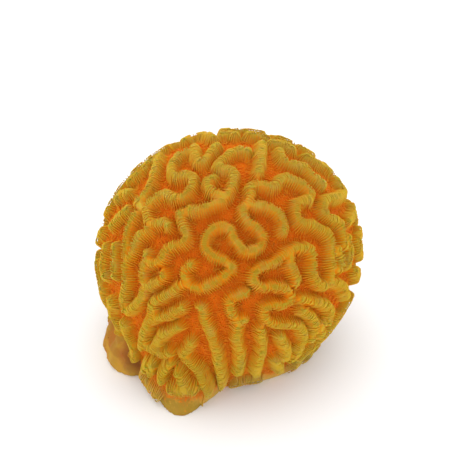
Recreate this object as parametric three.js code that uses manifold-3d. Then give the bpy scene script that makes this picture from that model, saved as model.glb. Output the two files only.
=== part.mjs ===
// A brain coral colony: a globose dome with a toe in front and one at its left, covered in
// meandering ridges and cut off flat where it grew. Millimetres, +Z up, standing on z = 0.
import * as THREE from 'three';
import { mergeVertices } from 'three/addons/utils/BufferGeometryUtils.js';
import Module from 'manifold-3d';

// The picture that the ridges were read from: where its middle looks, and the size of one pixel there
const PIXEL = 0.44;
const PICTURE_MIDDLE = [229, 229];
const VIEW_TILT = THREE.MathUtils.degToRad(34);
const EYE_DISTANCE = 500;
const AIM = new THREE.Vector3(0, 10, 54);

// The lobes that the body is blended from, below its ridges; the dome leans up at its right
const DOME = { centre: [-0.2, 0.2, 47], radii: [55, 48.7, 51.2], turn: THREE.MathUtils.degToRad(25) };
const STALK = { centre: [3.2, 3.8, 4], radii: [36.2, 33.8, 22], turn: 0 };
const FRONT_TOE = { centre: [-18.5, -22.2, 12.8], radii: [18.2, 22.5, 23.5], turn: 0 };
const LEFT_TOE = { centre: [-41.5, -9.3, 4.8], radii: [14, 17.5, 20.2], turn: 0 };
const FOOT = { centre: [-20.5, -34.4, 0], radii: [8.8, 16.8, 6], turn: 0 };
const SOFT_BLEND = 4;
const SHARP_BLEND = 1.2;

// The hollow that parts the dome from its left toe
const NOTCH = { centre: [-57, -12, 24], radii: [7, 10, 6], turn: 0 };
const NOTCH_BLEND = 1.5;

// The ridges: height, spacing, and the rows of points where the picture shows their crests
const RIDGE_HEIGHT = 4.4;
const RIDGE_SPACING = 9.7;
const LEFT_TOE_RELIEF = 0.3;
const RIDGE_FADE = [-3, 10];

const CREST_ROUTES = {
  longMeander: [
    [191, 264], [184, 268], [182.5, 275], [186, 284], [197, 290], [209, 285.5], [218, 281], [227, 275],
    [233, 268.5], [228, 262], [221, 258], [213.5, 255.5], [208.5, 252], [204, 245], [205, 237], [210, 229],
    [216, 225], [224, 224.5], [230.5, 228], [233.5, 235], [238, 241.5], [242.5, 247.5], [248, 250.5],
    [255, 249], [262, 245], [265, 239], [264.5, 233.5], [260, 227.5], [254, 223], [249, 220], [245, 214.5],
    [244, 206.5], [248, 200.5], [252, 193], [250.5, 187], [255.5, 181.5], [261.5, 181], [268, 183],
    [275, 184], [279, 180], [283, 175.5], [288.5, 174], [293, 176], [302, 179.5], [308, 184], [313, 189],
    [313, 195], [307, 198], [300.5, 201], [298.5, 207], [299.5, 214], [303, 220], [308, 222.5],
    [315.5, 222.5], [323.5, 228], [330, 231.5], [334, 237], [335.5, 244], [336, 254], [336, 264], [336, 274],
    [334, 281], [330, 285.5], [324.5, 285.5], [319, 282], [316.5, 276], [316, 266], [316, 257], [314, 250],
    [309, 246.5], [302, 247], [294.5, 248], [290, 251.5], [283, 256.5], [276.5, 261.5], [268, 265],
    [260.5, 269], [255.5, 273], [255, 280], [258.5, 285.5], [265, 288], [274, 286.5], [282.5, 287],
    [289, 290.5], [293.5, 296], [292.5, 302], [286, 306], [279, 306], [271.5, 307], [266.5, 311],
    [266.5, 318], [272, 324], [281, 326.5], [291, 326.5], [299, 327], [304.5, 331.5], [306.5, 337.5],
    [306, 344], [303, 350.5], [299, 358], [294, 363],
  ],
  upperEye: [[248, 201], [255, 202], [262, 202.5], [269, 204.5], [278, 209], [283, 215], [286, 224], [285, 230]],
  innerBranch: [[293, 249], [293.5, 256], [293.5, 262], [295, 268], [298, 274], [300, 280], [299, 284]],
  rightFinger: [
    [304, 300], [311, 302], [320, 303], [327, 305], [332, 308], [334, 313], [333, 319], [331.5, 325],
  ],
  lowerRightArc: [[304, 311], [311, 315], [316, 321], [318.5, 328.5], [317.5, 336], [315, 342]],
  lowerRightEdge: [[327, 325], [324, 338]],
  lowerRibA: [[282, 338], [285, 345], [289, 351], [289.5, 358], [287, 364]],
  shortRib: [[278, 364.5], [281.5, 370], [282.5, 375.5]],
  lowerRibB: [[262.5, 331], [263, 339], [264, 347], [262.5, 356], [261, 363], [259, 370], [257.5, 379]],
  hookedRib: [
    [247, 294], [240, 297], [233, 300], [229.5, 304], [231, 311], [234, 317], [237, 323], [240, 326],
    [238.5, 332], [237.5, 340], [238.5, 347], [240.5, 355], [240.5, 363], [240.5, 371], [239, 378],
  ],
  hookedRibKnob: [[240, 326], [244, 322]],
  longRib: [
    [200, 309], [202.5, 315], [204, 322], [207.5, 329.5], [211, 337], [213, 344], [215.5, 351.5],
    [218, 359], [218.5, 366], [220, 373.5], [221, 381], [221.5, 388], [221.5, 394.5],
  ],
  frontV: [
    [190, 344], [186, 352], [180, 358], [186, 364.5], [192, 370.5], [197.5, 376.5], [200.5, 384.5],
    [202, 391], [205, 398], [206.5, 405],
  ],
  leftSweep: [
    [184, 283], [177, 287.5], [169.5, 293.5], [160.5, 298], [152, 302.5], [149, 309], [149, 317],
    [145, 325.5], [141.5, 334.5], [139, 343], [138, 350],
  ],
  smallArm: [[181, 309], [175, 312], [168, 316.5], [160, 318.5], [152, 321], [147, 323]],
  frontC: [[177, 329], [173, 331], [166, 334.5], [160, 337.5], [156.5, 343], [152, 350], [151, 354]],
  frontCArm: [[143, 351], [152, 355], [162, 358.5], [167, 357]],
  toeRibA: [[143, 369], [141, 374]],
  toeRibB: [[149, 369], [146, 378]],
  toeRibC: [[168, 368], [160, 377], [158, 386]],
  toeRibD: [[176, 378], [178, 386], [180, 392]],
  toeFold: [[166, 402], [177, 405], [190, 404]],
  westMeander: [
    [248, 147], [240, 146], [231, 149], [225, 154], [220, 159], [217.5, 163.5], [221, 164], [227.5, 165.5],
    [233, 168.5], [234.5, 174], [233.5, 180], [230.5, 187.5], [226, 193.5], [221, 199], [212, 202],
    [205, 205], [196, 207], [185, 208.5], [178.5, 212], [180, 218], [182, 225], [185, 232], [184.5, 238.5],
    [179.5, 242], [172, 245], [166, 247.5], [162.5, 252], [160, 258], [154.5, 262], [148, 263],
    [143, 260.5], [140, 268.5], [139, 276], [140, 283], [144.5, 287], [151, 285], [157.5, 281], [162, 276],
    [160, 272.5],
  ],
  westStub: [[143, 260.5], [144, 253]],
  westLower: [[141, 289], [139.5, 296], [136, 302], [130, 308.5], [124, 313]],
  smallHook: [[213, 175], [207, 178], [208, 184], [212, 189], [219, 191], [226, 193]],
  hairpin: [
    [187, 147], [178, 151], [173, 156], [170, 163], [170, 170], [174.5, 173.5], [181, 172], [188.5, 172],
    [192.5, 177], [190.5, 184], [187.5, 189.5], [181, 195], [173, 195.5], [166, 192], [160, 192],
    [154.5, 195], [148.5, 199], [143.5, 205], [144.5, 212.5], [145.5, 220], [145.5, 227], [141, 232],
    [135.5, 235.5], [132.5, 241.5], [131, 248], [126.5, 255.5], [122.5, 261.5], [121.5, 269], [122, 276],
    [122, 283.5], [121, 291], [120, 298], [119.5, 305], [121, 311],
  ],
  hairpinArm: [[145.5, 222], [154, 222], [162, 221], [166, 224]],
  westRib: [[133, 212], [127.5, 220], [124.5, 227.5], [123, 235], [122.5, 243], [121.5, 251], [122, 258]],
  topFork: [[193, 144], [195, 153], [199, 159], [205, 156], [210, 149], [216, 142]],
  westEdgeA: [[157, 153], [153, 167], [150, 176], [147, 184], [144, 190], [138, 195], [135, 200], [138, 205]],
  westEdgeB: [[150, 156], [146, 160], [142, 165]],
  westEdgeH: [[136, 171], [131, 175], [127, 179]],
  westEdgeC: [[126, 190], [118, 192], [114, 197]],
  westEdgeD: [[124, 208], [115, 216], [108, 225]],
  westEdgeE: [[99, 229], [93, 240]],
  westEdgeF: [[102, 246], [99.5, 256], [98, 266], [101, 277]],
  westEdgeG: [[111, 246], [110.5, 256], [110, 266], [111, 276]],
  farEdgeA: [[184, 137], [192, 132], [205, 131], [213, 134]],
  farEdgeB: [[220, 131], [228, 130], [236, 131]],
  farEdgeC: [[250, 131], [258, 132], [268, 134]],
  farRib: [[263, 140], [262, 150], [262, 160], [259, 170]],
  upperRightA: [
    [281, 147], [284, 155], [293, 160], [306, 163], [311, 168], [316, 174], [322, 177], [326, 181],
  ],
  upperRightB: [[274, 139], [287, 141], [295, 146]],
  upperRightC: [[308, 153], [318, 159], [325, 163], [330, 167]],
  eastMeander: [
    [340, 178], [344, 184], [347, 190], [344, 194], [337, 195.5], [330, 197.5], [326.5, 202], [326.5, 207],
    [329, 212], [335, 217], [341, 220], [345, 224], [347, 230], [348, 237], [349, 245],
  ],
  eastEdgeA: [[342, 249], [344.5, 256], [345, 264], [343, 270]],
  eastEdgeB: [[356, 205], [357, 212], [352, 220]],
  eastEdgeC: [[352, 237], [353.5, 244], [355, 251], [353, 258], [352, 264]],
  eastLower: [[336, 282], [342, 284], [347, 287], [349, 292], [351, 297]],
};
const ROUTE_STEPS = 16;

// How far a drawn crest rules the surface, and where the grown pattern takes over, in spacings
const DRAWN_REACH = [0.62, 0.85];

// The grown pattern: points, rounds, and how strongly a ridge feeds itself and starves its neighbours
const GROWTH_POINTS = 13000;
const GROWTH_ROUNDS = 40;
const GROWTH_GAIN = 4.2;
const NEAR_SPREAD = 0.153 * RIDGE_SPACING;
const FAR_SPREAD = 2 * NEAR_SPREAD;
const FAR_REACH = 2.8 * FAR_SPREAD;
const UPRIGHT_BELOW = [14, 34];
const SEED_WAVES = 7;

// The faceted surface, and where it is seen from inside
const HEART = new THREE.Vector3(-2, -2, 40);
const SURFACE_DETAIL = 22;
const LEAST_LEAN = 0.6;

// How corners are drawn to crests and valleys: from what ridge value, by what share, and how far facets shrink
const SNAP_ABOVE = 0.3;
const SNAP_PROBE = 0.4;
const SNAP_SHARE = 0.85;
const SNAP_PASSES = 12;
const SNAP_KEPT_AREA = 0.3;

// When an edge is turned to run along a ridge: by what gain, leaving facets of what share, in how many rounds
const TURN_GAIN = 0.1;
const TURN_KEPT_AREA = 0.2;
const TURN_PASSES = 3;

const CUT_DEPTH = 60;
const CUT_WIDTH = 200;

// How rays are stepped onto the body
const TRACE_STEPS = 40;
const START_REACH = 100;
const RAY_CAUTION = 0.9;

const smooth = THREE.MathUtils.smoothstep;

// Distance to one ellipsoid, near enough to blend and to step along
function lobeDistance(lobe, p) {
  const [x, y, z] = [p.x - lobe.centre[0], p.y - lobe.centre[1], p.z - lobe.centre[2]];
  const [cos, sin] = [Math.cos(lobe.turn), Math.sin(lobe.turn)];
  const q = [cos * x + sin * z, y, cos * z - sin * x].map((value, i) => value / lobe.radii[i]);
  const s = q.map((value, i) => value / lobe.radii[i]);
  const reach = Math.hypot(...q);
  return (reach * (reach - 1)) / Math.max(Math.hypot(...s), 1e-9);
}

function blend(distances, width) {
  return -width * Math.log(distances.reduce((sum, d) => sum + Math.exp(-d / width), 0));
}

// The body below its ridges: the dome flows into its stalk, front toe and foot, and creases at its left toe
function bodyDistance(p) {
  const main = blend([DOME, STALK, FRONT_TOE, FOOT].map((lobe) => lobeDistance(lobe, p)), SOFT_BLEND);
  const notched = -blend([-main, lobeDistance(NOTCH, p)], NOTCH_BLEND);
  return blend([notched, lobeDistance(LEFT_TOE, p)], SHARP_BLEND);
}

// Where a ray from the heart of the colony leaves the body
function bodyPoint(direction) {
  const p = HEART.clone();
  for (let step = 0; step < TRACE_STEPS; step += 1) {
    p.addScaledVector(direction, -bodyDistance(p));
  }
  return p;
}

// The body point under a pixel of the picture: the ray stops at the ridge tops, then drops to the body
function pixelPoint([across, down]) {
  const up = new THREE.Vector3(0, Math.sin(VIEW_TILT), Math.cos(VIEW_TILT));
  const eye = new THREE.Vector3(0, -Math.cos(VIEW_TILT), Math.sin(VIEW_TILT));
  eye.multiplyScalar(EYE_DISTANCE).add(AIM);
  const target = AIM.clone().addScaledVector(up, (PICTURE_MIDDLE[1] - down) * PIXEL);
  target.x += (across - PICTURE_MIDDLE[0]) * PIXEL;
  const ray = target.sub(eye).normalize();
  const p = eye.clone().addScaledVector(ray, EYE_DISTANCE - START_REACH);
  const nearest = { gap: Infinity, point: p.clone() };
  for (let step = 0; step < TRACE_STEPS; step += 1) {
    const gap = bodyDistance(p) - RIDGE_HEIGHT;
    if (gap < nearest.gap) {
      nearest.gap = gap;
      nearest.point.copy(p);
    }
    p.addScaledVector(ray, Math.max(gap, 0) * RAY_CAUTION);
  }
  return bodyPoint(nearest.point.sub(HEART).normalize());
}

// A cell grid that finds the points near a place
function pointGrid(points, cell) {
  const cells = new Map();
  const key = (x, y, z) => (x + 64) * 65536 + (y + 64) * 256 + (z + 64);
  const index = (value) => Math.floor(value / cell);
  points.forEach((p, i) => {
    const k = key(index(p.x), index(p.y), index(p.z));
    if (!cells.has(k)) cells.set(k, []);
    cells.get(k).push(i);
  });
  return (p, visit) => {
    for (let x = -1; x <= 1; x += 1) {
      for (let y = -1; y <= 1; y += 1) {
        for (let z = -1; z <= 1; z += 1) {
          const found = cells.get(key(index(p.x) + x, index(p.y) + y, index(p.z) + z)) ?? [];
          found.forEach((i) => visit(i, points[i].distanceTo(p)));
        }
      }
    }
  };
}

function crestPoints() {
  return Object.values(CREST_ROUTES).flatMap((route) => {
    const curve = new THREE.CatmullRomCurve3(
      route.map(([across, down]) => new THREE.Vector3(across, down, 0)), false, 'catmullrom', 0.5);
    return curve.getPoints((route.length - 1) * ROUTE_STEPS).map((p) => pixelPoint([p.x, p.y]));
  });
}

const crests = crestPoints();
const nearCrests = pointGrid(crests, RIDGE_SPACING);

function crestDistance(p) {
  let nearest = RIDGE_SPACING;
  nearCrests(p, (i, distance) => {
    nearest = Math.min(nearest, distance);
  });
  return nearest;
}

// A ridge across: 1 on its crest, -1 in the valleys beside it
function acrossRidge(distance) {
  return Math.cos(Math.PI * Math.min((2 * distance) / RIDGE_SPACING, 1));
}

// How much the drawn crests rule a place
function drawnShare(distance) {
  return 1 - smooth(distance / RIDGE_SPACING, DRAWN_REACH[0], DRAWN_REACH[1]);
}

// The first state of the grown pattern: crossing waves above, upright ribs towards the foot
function seedWave(p) {
  let wave = 0;
  for (let i = 0; i < SEED_WAVES; i += 1) {
    const turn = i * 2.399963;
    const lift = ((i + 0.5) * 2) / SEED_WAVES - 1;
    const side = Math.sqrt(1 - lift * lift);
    const along = p.x * side * Math.cos(turn) + p.y * side * Math.sin(turn) + p.z * lift;
    wave += Math.sin((2 * Math.PI * along) / RIDGE_SPACING + 1.7 * i);
  }
  const ribs = Math.round((2 * Math.PI * DOME.radii[0]) / RIDGE_SPACING);
  const upright = Math.sin(ribs * Math.atan2(p.y, p.x));
  return THREE.MathUtils.lerp(upright, wave / 2, smooth(p.z, UPRIGHT_BELOW[0], UPRIGHT_BELOW[1]));
}

// Grows the pattern where no crest is drawn: each ridge feeds what is near it and starves what is further
function growPattern() {
  const points = [];
  for (let i = 0; i < GROWTH_POINTS; i += 1) {
    const lift = 1 - (2 * i + 1) / GROWTH_POINTS;
    const side = Math.sqrt(1 - lift * lift);
    const turn = i * Math.PI * (3 - Math.sqrt(5));
    const p = bodyPoint(new THREE.Vector3(side * Math.cos(turn), side * Math.sin(turn), lift));
    if (p.z > -FAR_SPREAD) points.push(p);
  }
  const near = pointGrid(points, FAR_REACH);
  const links = points.map((p) => {
    const found = { index: [], feed: [], starve: [] };
    near(p, (i, distance) => {
      if (distance > FAR_REACH) return;
      found.index.push(i);
      found.feed.push(Math.exp(-((distance / NEAR_SPREAD) ** 2) / 2));
      found.starve.push(Math.exp(-((distance / FAR_SPREAD) ** 2) / 2));
    });
    const feedSum = found.feed.reduce((a, b) => a + b);
    const starveSum = found.starve.reduce((a, b) => a + b);
    return { index: found.index, weight: found.feed.map((w, i) => w / feedSum - found.starve[i] / starveSum) };
  });
  const distances = points.map(crestDistance);
  const share = distances.map(drawnShare);
  const drawn = distances.map(acrossRidge);
  let state = points.map((p, i) => THREE.MathUtils.lerp(seedWave(p), drawn[i], share[i]));
  for (let round = 0; round < GROWTH_ROUNDS; round += 1) {
    state = links.map(({ index, weight }, i) => {
      const push = index.reduce((sum, other, k) => sum + weight[k] * state[other], 0);
      return THREE.MathUtils.lerp(Math.tanh(GROWTH_GAIN * push), drawn[i], share[i]);
    });
  }
  return { points, state };
}

const pattern = growPattern();
const nearPattern = pointGrid(pattern.points, 3 * NEAR_SPREAD);

// The ridge pattern at a body point, from -1 in the valleys to 1 on the crests
function ridgeAt(p) {
  let sum = 0;
  let total = 0;
  nearPattern(p, (i, distance) => {
    const weight = Math.exp(-((distance / NEAR_SPREAD) ** 2));
    sum += weight * pattern.state[i];
    total += weight;
  });
  const grown = total > 0 ? THREE.MathUtils.clamp((1.25 * sum) / total, -1, 1) : 0;
  const distance = crestDistance(p);
  return THREE.MathUtils.lerp(grown, acrossRidge(distance), drawnShare(distance));
}

// How much of a place is on one lobe rather than on the others
function shareOf(lobe, others, p) {
  const rest = blend(others.map((other) => lobeDistance(other, p)), SOFT_BLEND);
  return smooth(rest - lobeDistance(lobe, p), -1, 3);
}

// Height of the ridges over the body: fading below the cut, low on the left toe, none on the foot
function ridgeHeight(p, ridge) {
  const onLeftToe = shareOf(LEFT_TOE, [DOME, STALK, FRONT_TOE], p);
  const onFoot = shareOf(FOOT, [DOME, STALK, FRONT_TOE], p);
  const relief = THREE.MathUtils.lerp(1, LEFT_TOE_RELIEF, onLeftToe) * (1 - onFoot);
  return RIDGE_HEIGHT * relief * smooth(ridge, -1, 1) * smooth(p.z, RIDGE_FADE[0], RIDGE_FADE[1]);
}

function outwardAt(p) {
  const step = 0.2;
  const slope = new THREE.Vector3();
  for (let axis = 0; axis < 3; axis += 1) {
    const shift = new THREE.Vector3().setComponent(axis, step);
    slope.setComponent(axis, bodyDistance(p.clone().add(shift)) - bodyDistance(p.clone().sub(shift)));
  }
  return slope.normalize();
}

// Where a corner should move so that it lies on the crest or the valley line beside it
function drawnAside(direction) {
  const p = bodyPoint(direction);
  const ridge = ridgeAt(p);
  if (Math.abs(ridge) < SNAP_ABOVE) return direction;
  const side = new THREE.Vector3(0, 0, 1).cross(direction).normalize();
  const lift = direction.clone().cross(side);
  const slopeAlong = (aside) => {
    const q = bodyPoint(direction.clone().addScaledVector(aside, SNAP_PROBE / p.distanceTo(HEART)).normalize());
    return (ridgeAt(q) - ridge) / SNAP_PROBE;
  };
  const slope = side.multiplyScalar(slopeAlong(side)).addScaledVector(lift, slopeAlong(lift));
  if (slope.length() < 1e-3) return direction;
  const gap = (Math.acos(Math.min(Math.abs(ridge), 1)) / Math.PI) * (RIDGE_SPACING / 2);
  const move = (Math.sign(ridge) * SNAP_SHARE * gap) / slope.length() / p.distanceTo(HEART);
  return direction.clone().addScaledVector(slope, move).normalize();
}

const turned = (a, b, c) => b.clone().sub(a).cross(c.clone().sub(a)).dot(a);

// Moves the corners of a ball onto crests and valleys, each only as far as no facet folds over
function drawCorners(ball) {
  const place = ball.attributes.position;
  const corners = ball.index.array;
  const rest = [];
  for (let i = 0; i < place.count; i += 1) rest.push(new THREE.Vector3().fromBufferAttribute(place, i).normalize());
  const moved = rest.map(drawnAside);
  for (let pass = 0; pass < SNAP_PASSES; pass += 1) {
    for (let f = 0; f < corners.length; f += 3) {
      const [i, j, k] = corners.slice(f, f + 3);
      const before = turned(rest[i], rest[j], rest[k]);
      if (turned(moved[i], moved[j], moved[k]) > SNAP_KEPT_AREA * before) continue;
      [i, j, k].forEach((corner) => moved[corner].lerp(rest[corner], 0.5).normalize());
    }
  }
  return moved;
}

// Turns the edge between two facets where the other diagonal keeps closer to the ridges
function turnEdges(facets, directions, ridges, leastArea) {
  const edges = new Map();
  facets.forEach((facet, f) => facet.forEach((from, k) => {
    edges.set(from * directions.length + facet[(k + 1) % 3], [f, facet[(k + 2) % 3]]);
  }));
  const touched = new Set();
  const area = (i, j, k) => turned(directions[i], directions[j], directions[k]);
  edges.forEach(([f, c], key) => {
    const [a, b] = [Math.floor(key / directions.length), key % directions.length];
    const [g, d] = edges.get(b * directions.length + a);
    if (a > b || touched.has(f) || touched.has(g)) return;
    const middle = new THREE.Vector3();
    [a, b, c, d].forEach((corner) => middle.add(directions[corner]));
    const ridge = ridgeAt(bodyPoint(middle.normalize()));
    const miss = (i, j) => Math.abs(ridge - (ridges[i] + ridges[j]) / 2);
    if (miss(c, d) > miss(a, b) - TURN_GAIN) return;
    if (Math.min(area(a, d, c), area(d, b, c)) < leastArea) return;
    facets[f] = [a, d, c];
    facets[g] = [d, b, c];
    touched.add(f).add(g);
  });
}

// The ridged surface as one closed skin around the heart of the colony
function colonySkin() {
  const ball = new THREE.IcosahedronGeometry(1, SURFACE_DETAIL);
  ball.deleteAttribute('normal');
  ball.deleteAttribute('uv');
  const skin = mergeVertices(ball, 1e-6);
  const directions = drawCorners(skin);
  const places = directions.map(bodyPoint);
  const ridges = places.map(ridgeAt);
  const facets = [];
  for (let f = 0; f < skin.index.count; f += 3) facets.push([...skin.index.array.slice(f, f + 3)]);
  const leastArea = (TURN_KEPT_AREA * 8 * Math.PI) / facets.length;
  for (let pass = 0; pass < TURN_PASSES; pass += 1) turnEdges(facets, directions, ridges, leastArea);
  places.forEach((p, i) => {
    const lean = Math.max(directions[i].dot(outwardAt(p)), LEAST_LEAN);
    p.addScaledVector(directions[i], ridgeHeight(p, ridges[i]) / lean);
    skin.attributes.position.setXYZ(i, p.x, p.y, p.z);
  });
  skin.setIndex(facets.flat());
  return skin;
}

const wasm = await Module();
wasm.setup();

function toSolid(geometry) {
  return new wasm.Manifold(new wasm.Mesh({
    numProp: 3,
    vertProperties: new Float32Array(geometry.attributes.position.array),
    triVerts: new Uint32Array(geometry.index.array),
  }));
}

function toGeometry(solid) {
  const mesh = solid.getMesh();
  const geometry = new THREE.BufferGeometry();
  geometry.setAttribute('position', new THREE.BufferAttribute(mesh.vertProperties, 3));
  geometry.setIndex(new THREE.BufferAttribute(mesh.triVerts, 1));
  geometry.computeVertexNormals();
  return geometry;
}

// The block below z = 0 that the flat cut takes away
function rockBlock() {
  const block = new THREE.BoxGeometry(CUT_WIDTH, CUT_WIDTH, CUT_DEPTH);
  block.translate(0, 0, -CUT_DEPTH / 2);
  block.deleteAttribute('normal');
  block.deleteAttribute('uv');
  return mergeVertices(block);
}

function brainCoral() {
  const colony = toSolid(colonySkin()).subtract(toSolid(rockBlock()));
  const mesh = new THREE.Mesh(
    toGeometry(colony),
    new THREE.MeshStandardMaterial({ color: '#c8962f', roughness: 0.85, metalness: 0 }),
  );
  mesh.name = 'brain_coral';
  return mesh;
}

const coral = new THREE.Group();
coral.add(brainCoral());

export default coral;
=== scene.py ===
import math

import bpy
import numpy as np
from bpy.props import FloatProperty, FloatVectorProperty, IntProperty, PointerProperty
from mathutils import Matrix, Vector, kdtree, noise


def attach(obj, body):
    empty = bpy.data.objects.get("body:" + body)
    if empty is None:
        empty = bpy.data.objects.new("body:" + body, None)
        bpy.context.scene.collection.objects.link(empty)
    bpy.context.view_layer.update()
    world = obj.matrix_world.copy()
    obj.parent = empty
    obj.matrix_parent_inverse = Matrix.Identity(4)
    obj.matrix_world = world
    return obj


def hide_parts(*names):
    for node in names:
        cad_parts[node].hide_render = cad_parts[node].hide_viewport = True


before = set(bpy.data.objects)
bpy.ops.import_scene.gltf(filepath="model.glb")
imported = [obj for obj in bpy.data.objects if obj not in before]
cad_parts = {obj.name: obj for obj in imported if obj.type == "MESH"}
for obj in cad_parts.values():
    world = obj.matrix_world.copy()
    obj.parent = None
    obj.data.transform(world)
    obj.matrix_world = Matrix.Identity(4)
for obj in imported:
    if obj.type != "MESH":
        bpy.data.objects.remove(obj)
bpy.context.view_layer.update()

bl_info = {
    "name": "Brain Coral Colony",
    "version": (1, 0, 0),
    "blender": (4, 5, 0),
    "location": "3D View > Sidebar > Coral",
    "description": "Grows a brain coral colony: ridged skin, blades across the ridges, grains in the valleys",
    "category": "Object",
}

# The picture that the ridges were read from: where its middle looks, and the size of one pixel there
PIXEL = 0.00044
PICTURE_MIDDLE = np.array([229.0, 229.0])
PICTURE_SIZE = 458
VIEW_TILT = math.radians(34)
EYE_DISTANCE = 0.5
AIM = np.array([0.0, 0.010, 0.054])
VIEW_UP = np.array([0.0, math.sin(VIEW_TILT), math.cos(VIEW_TILT)])
VIEW_BACK = np.array([0.0, -math.cos(VIEW_TILT), math.sin(VIEW_TILT)])

# The lobes that the body is blended from, below its ridges: centre, radii and turn up at the right
DOME = ((-0.0002, 0.0002, 0.047), (0.055, 0.0487, 0.0512), math.radians(25))
STALK = ((0.0032, 0.0038, 0.004), (0.0362, 0.0338, 0.022), 0)
FRONT_TOE = ((-0.0185, -0.0222, 0.0128), (0.0182, 0.0225, 0.0235), 0)
LEFT_TOE = ((-0.0415, -0.0093, 0.0048), (0.014, 0.0175, 0.0202), 0)
FOOT = ((-0.0205, -0.0344, 0), (0.0088, 0.0168, 0.006), 0)
MAIN_LOBES = (DOME, STALK, FRONT_TOE)
SOFT_BLEND = 0.004
SHARP_BLEND = 0.0012

# The hollow that parts the dome from its left toe
NOTCH = ((-0.057, -0.012, 0.024), (0.007, 0.010, 0.006), 0)
NOTCH_BLEND = 0.0015
HEART = np.array([-0.002, -0.002, 0.040])

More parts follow.
